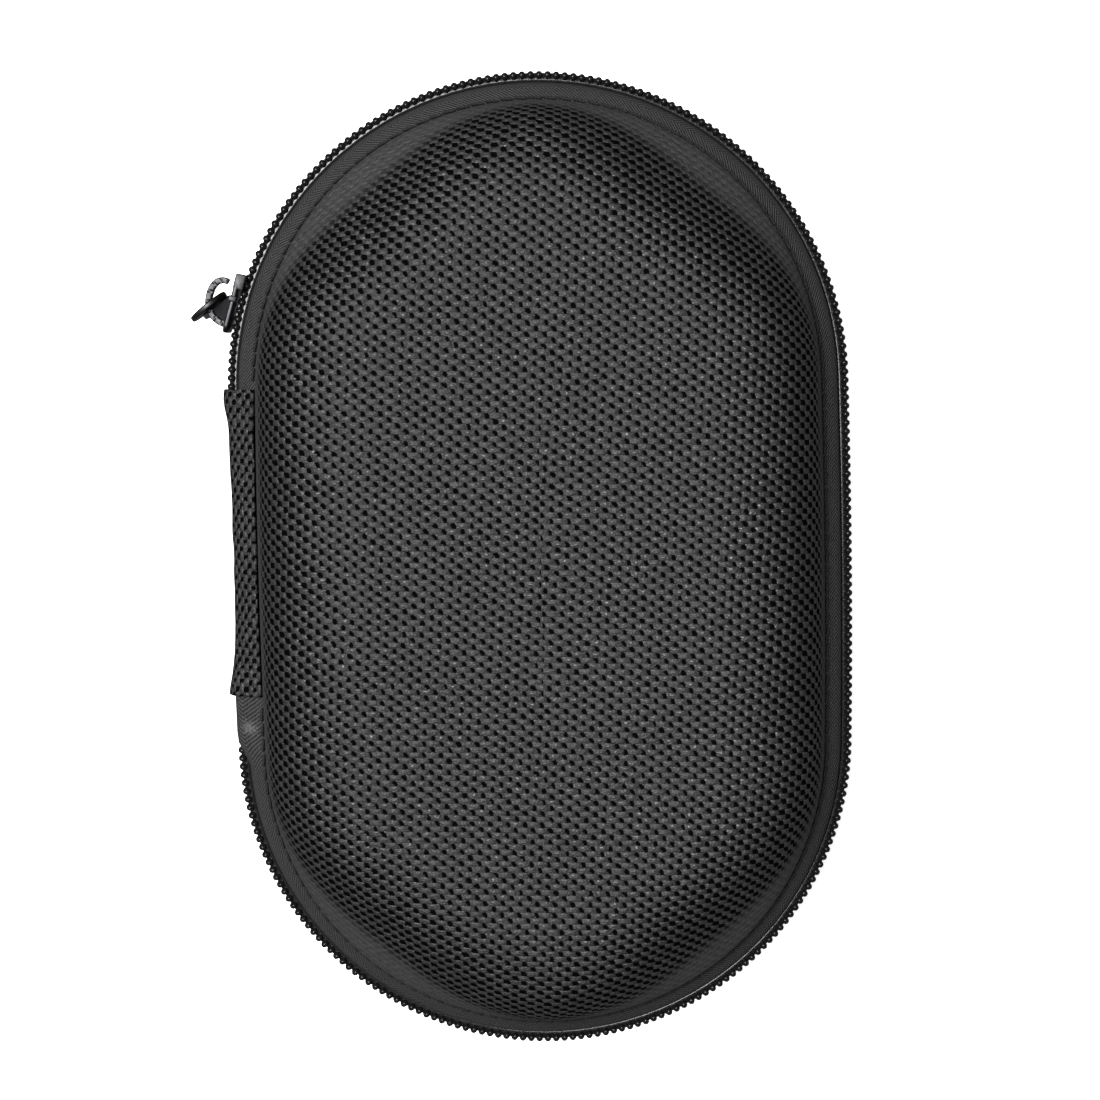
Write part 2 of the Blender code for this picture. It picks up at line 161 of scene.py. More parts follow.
class CaseColours(bpy.types.PropertyGroup):
    nylon: colour("Nylon", "Floats of the outer weave", 0.022, 0.022, 0.0225)
    # Gaps: a dark matt colour that stands for the shade in the holes between the floats, painted shade.
    gaps: colour("Gaps", "Yarn that dives between the floats", 0.0015, 0.0015, 0.0015)
    tape: colour("Tape", "Woven zip tape", 0.021, 0.021, 0.0215)
    worn: colour("Worn", "Worn spot on the zip tape", 0.2, 0.2, 0.2)
    coil: colour("Coil", "Zip teeth", 0.006, 0.006, 0.0062)
    thread: colour("Thread", "Seam thread", 0.010, 0.010, 0.010)
    lining: colour("Lining", "Brushed knit inside", 0.045, 0.045, 0.048)
    trim: colour("Trim", "Edge binding and elastic", 0.018, 0.018, 0.018)
    foam: colour("Foam", "Foam core", 0.020, 0.020, 0.021)
    metal: colour("Metal", "Plated slider and pull", 0.032, 0.032, 0.034)
    floor: colour("Floor", "Studio floor", 0.86, 0.86, 0.86)


class CaseStudio(bpy.types.PropertyGroup):
    distance: length("Distance", "From the camera to the zip plane", 0.42)
    field: length("Field", "Width seen at the zip plane", 0.1843)
    aim: bpy.props.FloatVectorProperty(
        name="Aim",
        description="Where the camera looks in plan",
        size=2,
        default=(1.45 * MM, 2.2 * MM),
        unit="LENGTH",
        precision=5,
    )
    tilt: turn("Tilt", "How far the camera leans over the far end", 4.9)
    roll: turn("Roll", "Turn of the camera about its view", -1.1)
    lamp: bpy.props.FloatProperty(
        name="Lamp", description="Power of the soft overhead lamp", default=15.0, unit="POWER"
    )
    sky: bpy.props.FloatProperty(name="Sky", description="Brightness of the room", default=0.2, min=0)
    glow: bpy.props.FloatProperty(
        name="Glow", description="Light that comes through the floor's white sheet", default=0.78, min=0
    )


# Places on the outline


def whereabouts(x, y):
    """The outward direction, inset, distance round and corner weight of a point in plan.

    The distance round starts at the spine's middle.
    """
    if abs(y) - END_CENTRE > abs(x) * math.tan(TANGENT):
        end = 1 if y > 0 else -1
        off = Vector((x, y - end * END_CENTRE))
        angle = math.atan2(off.y, off.x) % (2 * math.pi)
        start = TANGENT if end > 0 else math.pi + TANGENT
        before = 3 * FLANK_RUN + END_RUN if end > 0 else FLANK_RUN
        outward = Vector((math.cos(angle), math.sin(angle)))
        slope = math.degrees(math.asin(min(1.0, abs(outward.y))))
        weight = math.cos(min(1.0, abs(slope - CORNER_ANGLE) / CORNER_SPREAD) * math.pi / 2) ** 2
        return outward, END_RADIUS - off.length, before + END_RADIUS * (angle - start), weight
    side = 1 if x > 0 else -1
    off = Vector((x + side * FLANK_CENTRE, y))
    outward = off.normalized()
    run = FLANK_RADIUS * math.asin(outward.y)
    along = FLANK_RUN + END_RUN + run + FLANK_RUN if side > 0 else -run % ROUND
    return outward, FLANK_RADIUS - off.length, along, 0.0


def station(along):
    """The point on the outline and the outward direction at a distance round from the spine's middle."""
    along %= ROUND
    if along < FLANK_RUN or along > ROUND - FLANK_RUN:
        turn = math.pi + (along if along < FLANK_RUN else along - ROUND) / FLANK_RADIUS
        centre, radius = Vector((FLANK_CENTRE, 0)), FLANK_RADIUS
    elif along < FLANK_RUN + END_RUN:
        turn = math.pi + TANGENT + (along - FLANK_RUN) / END_RADIUS
        centre, radius = Vector((0, -END_CENTRE)), END_RADIUS
    elif along < 3 * FLANK_RUN + END_RUN:
        turn = (along - 2 * FLANK_RUN - END_RUN) / FLANK_RADIUS
        centre, radius = Vector((-FLANK_CENTRE, 0)), FLANK_RADIUS
    else:
        turn = TANGENT + (along - 3 * FLANK_RUN - END_RUN) / END_RADIUS
        centre, radius = Vector((0, END_CENTRE)), END_RADIUS
    outward = Vector((math.cos(turn), math.sin(turn)))
    return centre + radius * outward, outward


def flank_along(y):
    """The distance round of a point on the spine's side, at y along the case."""
    return -FLANK_RADIUS * math.asin(y / FLANK_RADIUS) % ROUND


def legs_between(start, stop, step):
    """The arcs from one distance round to another, as (centre, angle, steps).

    A stop at or before the start goes round.
    """
    stop = stop if stop > start else stop + ROUND
    near, far = (FLANK_RUN, (FLANK_CENTRE, 0)), (FLANK_RUN, (-FLANK_CENTRE, 0))
    low, high = (END_RUN, (0, -END_CENTRE)), (END_RUN, (0, END_CENTRE))
    legs, at = [], 0.0
    for edge, centre in (near, low, far, far, high, near) * 2:
        first, last = max(start, at), min(stop, at + edge)
        if last - first > 1e-7:
            radius = END_RADIUS if centre[1] else FLANK_RADIUS
            legs.append((centre, (last - first) / radius, max(1, round((last - first) / step))))
        at += edge
    return legs


def smooth(points, count):
    """A curve through the points with this many pieces between each pair."""
    points = [Vector(p) for p in points]
    line = []
    for i in range(len(points) - 1):
        before, after = points[max(i - 1, 0)], points[min(i + 2, len(points) - 1)]
        a, b = points[i : i + 2]
        for k in range(count):
            t = k / count
            line.append(
                a
                + 0.5 * (b - before) * t
                + 0.5 * (2 * before - 5 * a + 4 * b - after) * t**2
                + 0.5 * (3 * (a - b) + after - before) * t**3
            )
    return [*line, points[-1]]


def moved_in(line, depth):
    """An open line moved sideways by depth, with its first end upright and its last level."""
    moved = []
    for i, point in enumerate(line):
        before = (point - line[i - 1]).normalized() if i else Vector((0, 1))
        after = (line[i + 1] - point).normalized() if i + 1 < len(line) else Vector((1, 0))
        along = (before + after).normalized()
        normal = Vector((along.y, -along.x))
        moved.append(point + normal * (depth / max(0.5, normal.dot(Vector((before.y, -before.x))))))
    return moved


def dome_line(weight, depth=0.0):
    """The dome's section from the rim to the flat's edge, as (inset, height).

    Weight is 1 in a corner and 0 away from it.
    """
    rise = DOME_HEIGHT - RIM_HEIGHT
    line = [
        Vector((RIM_INSET + run * MM + weight * CORNER_INSET * cut, RIM_HEIGHT + rise * min(1.0, up)))
        for run, up, cut in smooth(DOME, 5)
    ]
    return moved_in(line, depth) if depth else line


def ease(share):
    """A smooth rise from 0 to 1."""
    share = min(1.0, max(0.0, share))
    return share * share * (3 - 2 * share)


def lengths(line):
    """The distance along a line to each of its points."""
    total, found = 0.0, [0.0]
    for one, other in zip(line, line[1:]):
        total += (other - one).length
        found.append(total)
    return found


# Meshes


def swept(bm, section, half, start=0.0, stop=ROUND, step=1.2 * MM, closed=True):
    """Spins a section round the outline. Each point keeps its row number. It returns that layer."""
    row = bm.verts.layers.float.new("row")
    point, outward = station(start)
    line = []
    for k, (inset, height) in enumerate(section):
        flat = point - outward * inset
        line.append(bm.verts.new((flat.x, flat.y, ZIP_Z + half * height)))
        line[-1][row] = k
    pairs = list(zip(line, line[1:])) + ([(line[-1], line[0])] if closed else [])
    last = line + [bm.edges.new(pair) for pair in pairs]
    for centre, angle, steps in legs_between(start, stop, step):
        made = bmesh.ops.spin(
            bm,
            geom=last,
            cent=(*centre, 0),
            axis=(0, 0, 1),
            angle=angle,
            steps=steps,
            use_merge=False,
            use_duplicate=False,
        )
        last = made["geom_last"]
    bmesh.ops.remove_doubles(bm, verts=bm.verts, dist=1e-6)
    if closed and stop != ROUND:
        bmesh.ops.holes_fill(bm, edges=[e for e in bm.edges if e.is_boundary], sides=0)
    return row


def unroll(bm, where, layer="cloth"):
    """Gives each corner its place on the cloth, in millimetres. A face never spans the spine's middle."""
    uv = bm.loops.layers.uv.new(layer)
    for face in bm.faces:
        spots = [Vector(where(loop.vert)) for loop in face.loops]
        last = max(spot.x for spot in spots)
        for loop, spot in zip(face.loops, spots):
            if last - spot.x > ROUND / MM / 2:
                spot.x += ROUND / MM
            loop[uv].uv = spot


def along_and_across(row, section):
    """Cloth that follows the outline.

    The first coordinate runs round the case and the second across the strip.
    """
    across = lengths([Vector(point) for point in section])
    return lambda vert: (whereabouts(vert.co.x, vert.co.y)[2] / MM, across[round(vert[row])] / MM)


def settle(vert, row, rows, half):
    """Moves a swept point onto the moulding, whose line goes from rows[0] to rows[1] in a corner.

    It returns the outline's point beside it, the outward direction, the distance round, the
    corner weight and the row's number.
    """
    outward, inset, along, weight = whereabouts(vert.co.x, vert.co.y)
    outline = vert.co.xy + outward * inset
    k = round(vert[row])
    point = rows[0][k].lerp(rows[1][k], weight)
    flat = outline - outward * point.x
    vert.co = (flat.x, flat.y, ZIP_Z + half * point.y)
    return outline, outward, along, weight, k


def finished(bm, name, make, slot, body=None, *nodes, angle=40.0, face_out=True):
    """The bmesh as a shown piece that rides on its body and stands for its frame nodes."""
    if face_out:
        bmesh.ops.recalc_face_normals(bm, faces=bm.faces)
    mesh = bpy.data.meshes.new(name)
    bm.to_mesh(mesh)
    bm.free()
    mesh.shade_smooth()
    mesh.set_sharp_from_angle(angle=math.radians(angle))
    mesh.materials.append(finish_of(make))
    made = bpy.data.objects.new(name, mesh)
    bpy.context.scene.collection.objects.link(made)
    if nodes:
        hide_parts(*nodes)
    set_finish(made, slot)
    if body:
        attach(made, body)
    return made


def thickened(made, thickness, offset=-1.0):
    wall = made.modifiers.new("wall", "SOLIDIFY")
    wall.thickness = thickness
    wall.offset = offset
    wall.use_even_offset = False
    return made


def repeated(bm, unit, matrices):
    """Adds a copy of a small bmesh at each matrix, and frees the small one."""
    pattern = bpy.data.meshes.new("pattern")
    unit.to_mesh(pattern)
    unit.free()
    for matrix in matrices:
        copy = pattern.copy()
        copy.transform(matrix)
        bm.from_mesh(copy)
        bpy.data.meshes.remove(copy)
    bpy.data.meshes.remove(pattern)


def rounded_boxes(bm, matrices, size, radius, segments=1):
    """Boxes with rounded edges, each with its middle and its turn given by a matrix."""
    box = bmesh.new()
    bmesh.ops.create_cube(box, size=1, matrix=Matrix.Diagonal((*size, 1)))
    bmesh.ops.bevel(
        box,
        geom=box.edges[:],
        offset=radius,
        affect="EDGES",
        segments=segments,
        profile=0.5,
        material=-1,
    )
    repeated(bm, box, matrices)


def facing(along, inset, height, half=UP):
    """A matrix at a place round the case: X along the zip, Y outwards, Z up."""
    point, outward = station(along)
    flat = point - outward * inset
    axes = Matrix(((-outward.y, outward.x, 0), (outward.x, outward.y, 0), (0, 0, 1))).transposed()
    return Matrix.Translation((flat.x, flat.y, ZIP_Z + half * height)) @ axes.to_4x4()


# Materials


class Value:
    """A shader socket. Arithmetic on it adds Math nodes."""

    def __init__(self, finish, socket):
        self.finish = finish
        self.socket = socket

    def math(self, operation, *others):
        return self.finish.node("ShaderNodeMath", {"operation": operation}, dict(enumerate((self, *others))))

    def __add__(self, other):
        return self.math("ADD", other)

    def __sub__(self, other):
        return self.math("SUBTRACT", other)

    def __mul__(self, other):
        return self.math("MULTIPLY", other)

    def __truediv__(self, other):
        return self.math("DIVIDE", other)

    def __rsub__(self, other):
        return self.finish.node("ShaderNodeMath", {"operation": "SUBTRACT"}, {0: other, 1: self})

    __radd__ = __add__
    __rmul__ = __mul__

    def floor(self):
        return self.math("FLOOR")

    def fraction(self):
        return self.math("FRACT")

    def size(self):
        return self.math("ABSOLUTE")

    def wave(self):
        """A sine that runs from 0 to 1 and back once for each whole number."""
        return (self * (2 * math.pi)).math("SINE") * 0.5 + 0.5

    def bulge(self):
        """A half round: 0 at 0 and 1, and 1 midway."""
        return (self * math.pi).math("SINE").math("MAXIMUM", 0)

    def step(self, low, high):
        """A smooth step from 0 at low to 1 at high."""
        settings = {"interpolation_type": "SMOOTHSTEP"}
        return self.finish.node("ShaderNodeMapRange", settings, {0: self, 1: low, 2: high, 3: 0.0, 4: 1.0})


class Finish:
    """A material made node by node around its Principled shader."""

    def __init__(self, name, roughness, metallic=0.0, specular=0.5):
        self.material = bpy.data.materials.new(name)
        self.material.use_nodes = True
        self.tree = self.material.node_tree
        self.shader = self.tree.nodes["Principled BSDF"]
        self.shader.inputs["Roughness"].default_value = roughness
        self.shader.inputs["Metallic"].default_value = metallic
        self.shader.inputs["Specular IOR Level"].default_value = specular

    def node(self, kind, settings=None, inputs=None, output=0):
        made = self.tree.nodes.new(kind)
        for name, value in (settings or {}).items():
            setattr(made, name, value)
        for key, value in (inputs or {}).items():
            if isinstance(value, Value):
                self.tree.links.new(value.socket, made.inputs[key])
            else:
                made.inputs[key].default_value = value
        return Value(self, made.outputs[output])

    def cloth(self, layer="cloth"):
        """The two coordinates on the cloth, in millimetres."""
        spot = self.node("ShaderNodeUVMap", {"uv_map": layer})
        return [self.node("ShaderNodeSeparateXYZ", None, {0: spot}, axis) for axis in (0, 1)]

    def place(self):
        """The place on the object, in millimetres."""
        spot = self.node("ShaderNodeTexCoord", None, None, "Object")
        return self.node("ShaderNodeVectorMath", {"operation": "SCALE"}, {0: spot, "Scale": 1 / MM})

    def join(self, x, y, z=0.0):
        return self.node("ShaderNodeCombineXYZ", None, {0: x, 1: y, 2: z})

    def noise(self, vector, scale, detail=2.0):
        """Soft noise from 0 to 1."""
        return self.node("ShaderNodeTexNoise", None, {"Vector": vector, "Scale": scale, "Detail": detail})

    def chance(self, x, y):
        """A number from 0 to 1 for each pair of whole numbers."""
        settings = {"noise_dimensions": "2D"}
        return self.node("ShaderNodeTexWhiteNoise", settings, {"Vector": self.join(x, y)})

    def mix(self, factor, cloth, tint):
        """A finish that goes over to a plain colour where factor is 1."""
        return self.node("ShaderNodeMix", {"data_type": "RGBA"}, {0: factor, 6: cloth, 7: (*tint, 1)}, 2)

    def shade(self, tint, factor):
        """A colour made lighter or darker by a number."""
        settings = {"data_type": "RGBA", "blend_type": "MULTIPLY"}
        grey = self.node("ShaderNodeCombineColor", None, {0: factor, 1: factor, 2: factor})
        return self.node("ShaderNodeMix", settings, {0: 1.0, 6: (*tint, 1), 7: grey}, 2)

    def give(self, socket, value):
        self.tree.links.new(value.socket, self.shader.inputs[socket])
        return self

    def paint(self, shaded, roughness, height, distance):
        """A colour, a roughness, and relief where a height of 1 stands this far above 0."""
        self.give("Base Color", shaded)
        self.give("Roughness", roughness)
        bump = self.node("ShaderNodeBump", None, {"Height": height, "Distance": distance})
        return self.give("Normal", bump)

    def hollowed(self, cover, colour):
        """Where cover falls to 0, a dark matt colour shows in place of the finish: painted shade between two
        yarns.
        """
        matt = self.node("ShaderNodeBsdfDiffuse", None, {"Color": (*colour, 1)})
        surface = Value(self, self.shader.outputs["BSDF"])
        both = self.node("ShaderNodeMixShader", None, {0: cover, 1: matt, 2: surface})
        self.tree.links.new(both.socket, self.tree.nodes["Material Output"].inputs["Surface"])
        return self


def basket_weave(name, sizes, colours, mess, pressed):
    """Heavy basket weave: long floats across, and painted shade where each float's yarn dives between them.

    Mess is how unevenly it lies. Pressed cloth has its holes closed near the rim, where the
    mould squeezes it; that band is also painted lighter and streaky, partly pressed streaks and partly
    painted bounce light and sheen. Up the walls, and all over cloth that is not pressed, the floats
    are painted darker and the holes wider: painted shade.
    """
    finish = Finish(name, 0.5, specular=0.42)
    u, v = finish.cloth()
    drift = (finish.noise(finish.join(u, v), 0.05, 1.0) - 0.5) * mess
    sway = (finish.noise(finish.join(u, v, 9.0), 0.35, 1.0) - 0.5) * mess
    shift = (finish.noise(finish.join(u, v, 4.0), 1.6, 2.0) - 0.5) * mess
    lift = (finish.noise(finish.join(u, v, 14.0), 1.6, 2.0) - 0.5) * mess
    x = u - v * math.tan(sizes.weave_lean) + drift * 0.5 + sway * 0.3 + shift * 0.5
    y = v + u * math.tan(sizes.weave_skew) + drift * 0.3 + sway * 0.16 + lift * 0.32
    y = y / (sizes.weave_row / MM)
    row = y.floor()
    across = y.fraction()
    off = (across - 0.5).size()
    x = x / (sizes.weave_repeat / MM) + row * 0.5
    along = x.fraction()
    luck = finish.chance(x.floor(), row)
    middle = 0.905 + (luck - 0.5) * 0.04
    slant = along + (across - 0.5) * 0.12 - middle
    aside = slant.size().math("MINIMUM", (slant + 1).size())
    strands = finish.noise(finish.join(u * 1.9, v * 3.4 + luck * 9.0), 1.0, 1.0).step(0.38, 0.62)
    # Broad random patches, lighter and darker.
    broad_patches = finish.noise(finish.join(u, v, 3.0), 0.12, 3.0)
    if pressed:
        round_it, up_it = finish.cloth("rim")
        # The band near the rim is pressed: its holes close, and it is painted lighter and streaky, partly
        # from the pressed cloth's streaks and partly as painted bounce light and sheen on the steep foot.
        squeeze_and_glow = 1 - up_it.step(3.5, 7.5)
        # Higher up the walls the floats are painted darker and their holes wider: painted shade on the
        # slopes.
        slope_shade = 1 - up_it.step(11.0, 26.0)
        streak_and_sheen = finish.noise(finish.join(round_it * 0.7, up_it * 3.2), 1.0, 3.0)
    else:
        # Cloth that is not pressed has no rim band, and is painted darker all over with wider holes: painted
        # shade.
        squeeze_and_glow, slope_shade, streak_and_sheen = strands * 0, strands * 0 + 0.45, strands
    beside = slant - 0.05
    beside = beside.size().math("MINIMUM", (beside + 1).size())
    half = off * -0.09 + shift * 0.16 + slope_shade * 0.09 + 0.14
    # Each of these squares is filled with a dark matt colour below: painted shade where the yarn dives.
    shaded_blob = (1 - (aside - half).step(-0.03, 0.03)) * (1 - (off - slope_shade * 0.1).step(0.42, 0.5) * 0.8)
    # A painted shadow below each float, beside the gaps.
    tail_shadow = (1 - (beside - 0.19).step(-0.05, 0.05)) * (1 - across.step(0.05, 0.17))
    hole_shade = shaded_blob.math("MAXIMUM", tail_shadow * 0.75) * (1 - squeeze_and_glow * 0.85)
    # Each float is painted darker towards its end, where it dips away from the light: painted shade.
    dip_shade = along.step(0.6, 0.8)
    arch = (along / 0.81).bulge() * 0.62 + 0.38
    height = arch * (1 - off * off * 0.9) + strands * 0.12
    height = height * (1 - squeeze_and_glow * 0.5) + streak_and_sheen * squeeze_and_glow * 0.5
    tone = (luck - 0.5) * 0.2 + (strands - 0.5) * 0.75 + (broad_patches - 0.5) * 0.3 + 1.0 - dip_shade * 0.2 - slope_shade * 0.26
    tone = tone * (1 - squeeze_and_glow * 0.7) + ((streak_and_sheen - 0.5) * 3.0 + 1.3) * squeeze_and_glow
    shaded = finish.shade(colours.nylon, tone.math("MAXIMUM", 0.15))
    finish.paint(shaded, 0.6 - strands * 0.2, height, 0.62 * MM)
    return finish.hollowed(1 - hole_shade, colours.gaps)


def ballistic_nylon(name, sizes, colours):
    """The shells' cover, moulded over the foam."""
    return basket_weave(name, sizes, colours, mess=1.0, pressed=True)


def spine_nylon(name, sizes, colours):
    """The same cloth folded over the hinge, where it creases."""
    return basket_weave(name, sizes, colours, mess=1.9, pressed=False)


def herringbone_tape(name, sizes, colours):
    """Zip tape: fine chevrons along its length, warp ribs, and a fray where it was cut beside the spine."""
    finish = Finish(name, 0.7, specular=0.25)
    u, v = finish.cloth()
    lean = (v - 3.6).size()
    chevron = ((u + lean * 1.1) / 0.68).wave()
    rib = (v / 0.42).wave()
    fuzz = finish.noise(finish.join(u * 3.0, v * 3.0), 1.0, 3.0)
    yarn = finish.noise(finish.join(u * 1.3 + lean * 1.4, v * 1.6), 1.0, 2.0).step(0.35, 0.65)
    height = chevron * 0.6 + rib * 0.25 + fuzz * 0.3
    tone = chevron.math("POWER", 1.3) * 1.6 + rib * 0.15 + (fuzz - 0.5) * 1.2 + (yarn - 0.5) * 0.35 + 0.3
    cloth = finish.shade(colours.tape, tone.math("MAXIMUM", 0.1))
    between = {0: finish.join(u * 0.7, v), 1: WORN_SPOT}
    spot = finish.node("ShaderNodeVectorMath", {"operation": "DISTANCE"}, between, "Value")
    fray = (1 - (spot + (fuzz - 0.5) * 4.0).step(0.2, 0.95)) * 0.3
    shaded = finish.mix(fray, cloth, colours.worn)
    return finish.paint(shaded, 0.78 - chevron * 0.12, height, 0.2 * MM)


def moulded_coil(name, sizes, colours):
    """Glossy nylon filament, scuffed a little."""
    finish = Finish(name, 0.2, specular=0.22)
    place = finish.place()
    scuff = finish.noise(place, 1.6, 4.0)
    return finish.paint(finish.shade(colours.coil, 0.6 + scuff * 0.9), 0.12 + scuff * 0.16, scuff, 0.02 * MM)


def twisted_thread(name, sizes, colours):
    """Sewing thread: two plies twisted round each other."""
    finish = Finish(name, 0.55, specular=0.3)
    u, v = finish.cloth()
    ply = ((u + v * 1.1) / 0.42).wave()
    fuzz = finish.noise(finish.place(), 5.0, 2.0)
    shaded = finish.shade(colours.thread, 0.35 + ply * 0.8 + fuzz * 0.4)
    return finish.paint(shaded, 0.68 - ply * 0.15, ply + fuzz * 0.2, 0.1 * MM)


def brushed_knit(name, sizes, colours):
    """Lining: a fine knit with a short brushed pile."""
    finish = Finish(name, 0.85, specular=0.15)
    u, v = finish.cloth()
    pile = finish.noise(finish.join(u * 1.4, v * 4.0), 1.0, 4.0)
    mottle = finish.noise(finish.join(u, v, 5.0), 0.16, 2.0)
    wale = (u / 0.8).fraction()
    loop = ((v + (wale - 0.5).size() * 0.9) / 0.7).wave()
    height = loop * 0.5 + wale.bulge() * 0.5 + pile * 0.8
    shaded = finish.shade(colours.lining, 0.35 + loop * 0.25 + pile * 0.6 + mottle * 0.45)
    return finish.paint(shaded, 0.94 - pile * 0.12, height, 0.09 * MM)


def ribbed_binding(name, sizes, colours):
    """Woven binding: ribs across its width and a firmer edge."""
    finish = Finish(name, 0.65, specular=0.3)
    u, v = finish.cloth()
    rib = (u / 0.62).wave()
    warp = (v / 0.33).wave()
    fuzz = finish.noise(finish.join(u * 2.5, v * 2.5), 1.0, 3.0)
    tone = 0.4 + rib * 0.55 + warp * 0.2 + fuzz * 0.5
    shaded = finish.shade(colours.trim, tone)
    return finish.paint(shaded, 0.74 - rib * 0.14, rib + warp * 0.35 + fuzz * 0.25, 0.12 * MM)


def closed_cell_foam(name, sizes, colours):
    """Foam core: fine closed cells on its cut edge."""
    finish = Finish(name, 0.9, specular=0.15)
    place = finish.place()
    cell = finish.node("ShaderNodeTexVoronoi", None, {"Vector": place, "Scale": 2.2}, "Distance")
    grain = finish.noise(place, 0.8, 3.0)
    shaded = finish.shade(colours.foam, 0.5 + cell * 0.9 + grain * 0.4)
    return finish.paint(shaded, 0.96 - cell * 0.12, cell, 0.15 * MM)


def knitted_mesh(name, sizes, colours):
    """The strands of the pocket's mesh: soft multifilament."""
    finish = Finish(name, 0.7, specular=0.25)
    place = finish.place()
    strand = finish.noise(place, 3.4, 3.0)
    return finish.paint(finish.shade(colours.trim, 0.5 + strand * 1.1), 0.8 - strand * 0.2, strand, 0.06 * MM)


def ribbed_elastic(name, sizes, colours):
    """Elastic: raised ribs across the hem, and rubber lines along it."""
    finish = Finish(name, 0.6, specular=0.3)
    place = finish.place()
    x, y = [finish.node("ShaderNodeSeparateXYZ", None, {0: place}, axis) for axis in (0, 1)]
    fuzz = finish.noise(place, 2.4, 3.0)
    rib = (x / 0.85).wave()
    line = (y / 1.1 + rib * 0.08).wave()
    tone = 0.35 + rib * 0.6 + line * 0.35 + fuzz * 0.4
    shaded = finish.shade(colours.trim, tone)
    return finish.paint(shaded, 0.72 - rib * 0.14, rib * 0.7 + line * 0.5 + fuzz * 0.2, 0.14 * MM)


def dark_plating(name, sizes, colours):
    """Gunmetal plating: glossy, with faint polishing marks and rubbed patches."""
    finish = Finish(name, 0.2, metallic=1.0)
    place = finish.place()
    stretched = finish.node("ShaderNodeMapping", None, {"Vector": place, "Scale": (1.0, 1.0, 7.0)})
    marks = finish.noise(stretched, 1.3, 4.0)
    rubbed = finish.noise(place, 0.5, 3.0)
    tone = 0.65 + marks * 0.35 + rubbed * 0.4
    shaded = finish.shade(colours.metal, tone)
    return finish.paint(shaded, 0.26 + marks * 0.2 + rubbed * 0.14, marks, 0.01 * MM)


def pale_floor(name, sizes, colours):
    finish = Finish(name, 0.9, specular=0.1)
    cloud = finish.noise(finish.place(), 0.01, 2.0)
    finish.give("Base Color", finish.shade(colours.floor, 0.98 + cloud * 0.02))
    return finish


def finish_of(make):
    """The material that a function makes, made once and named after it."""
    scene, name = bpy.context.scene, make.__name__
    return bpy.data.materials.get(name) or make(name, scene.case_sizes, scene.case_colours).material


# Pieces


class CASE_OT_outer_fabric(bpy.types.Operator):
    """Stretch the ballistic nylon over both moulded halves"""

    bl_idname = "case.outer_fabric"
    bl_label = "Outer fabric"

    def execute(self, context):
        for half_name, _, half in HALVES:
            lines = [dome_line(weight) for weight in (0, 1)]
            # A rounded lip below the first row, and rows across the flat top to its middle.
            lip = [Vector((0.16 * MM, 0.0)), Vector((0.04 * MM, 0.14 * MM))]
            steps = (18.5, 20.5, 23, 26, 29.5, 33.5, 38)
            insets = [RIM_INSET + step * MM for step in steps] + [END_RADIUS]
            fades = [0.66, 0.58, 0.48, 0.36, 0.22, 0.1, 0.03, 0.0]
            rows = []
            for weight, line in enumerate(lines):
                start = line[0]
                foot = [start + point for point in lip]
                rest = [p for p in line if p.y > start.y + 0.3 * MM]
                flat = [
                    Vector((inset + weight * CORNER_INSET * fade, DOME_HEIGHT))
                    for inset, fade in zip(insets, fades)
                ]
                rows.append(foot + rest + flat)
            edge = len(rows[0]) - len(insets) - 1
            to_edge = [[total[edge] - here for here in total] for total in map(lengths, rows)]

            bm = bmesh.new()
            row = swept(bm, rows[0], half, step=2 * MM, closed=False)
            up_wall = lengths(rows[0])
            spots, rims = {}, {}
            for vert in bm.verts:
                outline, outward, along, weight, k = settle(vert, row, rows, half)
                flat = vert.co.xy
                rise = half * (vert.co.z - ZIP_Z)
                rims[vert] = (along / MM, up_wall[k] / MM - CORNER_FALL * weight)
                if k <= edge:
                    run = to_edge[0][k] + (to_edge[1][k] - to_edge[0][k]) * weight
                    edge_inset = rows[0][edge].lerp(rows[1][edge], weight).x
                    flat = outline - outward * (edge_inset - run)
                spots[vert] = flat / MM
                if k == len(rows[0]) - 1:
                    vert.co.x = 0
                hollow = min(1.0, max(0.0, (rise - RIM_HEIGHT) / (8 * MM)))
                vert.co.z += half * hollow * 0.16 * MM * noise.noise(vert.co * 38 + Vector((3, half, 7)))
            unroll(bm, lambda vert: spots[vert])
            unroll(bm, lambda vert: rims[vert], "rim")
            bmesh.ops.remove_doubles(bm, verts=bm.verts, dist=WELD)
            made = finished(
                bm,
                f"{half_name}_ballistic_cover",
                ballistic_nylon,
                "nylon_fabric",
                half_name,
                f"{half_name}_outer_fabric",
            )
            thickened(made, FABRIC - 0.1 * MM)
        return {"FINISHED"}


class CASE_OT_lining(bpy.types.Operator):
    """Line both halves with brushed knit"""

    bl_idname = "case.lining"
    bl_label = "Lining"

    def execute(self, context):
        for half_name, _, half in HALVES:
            rows = [dome_line(weight, LINING_DEPTH + LINING) for weight in (0, 1)]
            for line in rows:
                level = line[-1].y
                line.extend(Vector((RIM_INSET + step * MM, level)) for step in (20, 24, 29, 35, 41))
                line.append(Vector((END_RADIUS, level)))
            to_middle = [[total[-1] - here for here in total] for total in map(lengths, rows)]
            bm = bmesh.new()
            row = swept(bm, rows[0], half, step=3 * MM, closed=False)
            spots = {}
            for vert in bm.verts:
                outline, outward, _, weight, k = settle(vert, row, rows, half)
                run = to_middle[0][k] + (to_middle[1][k] - to_middle[0][k]) * weight
                spots[vert] = (outline - outward * (END_RADIUS - run)) / MM
                if k == len(rows[0]) - 1:
                    vert.co.x = 0
                vert.co.z -= half * 0.12 * MM * noise.noise(vert.co * 55)
            unroll(bm, lambda vert: spots[vert])
            bmesh.ops.remove_doubles(bm, verts=bm.verts, dist=WELD)
            made = finished(
                bm, f"{half_name}_knit_lining", brushed_knit, "knit_lining", half_name, f"{half_name}_lining"
            )
            thickened(made, LINING, offset=1.0)
        return {"FINISHED"}


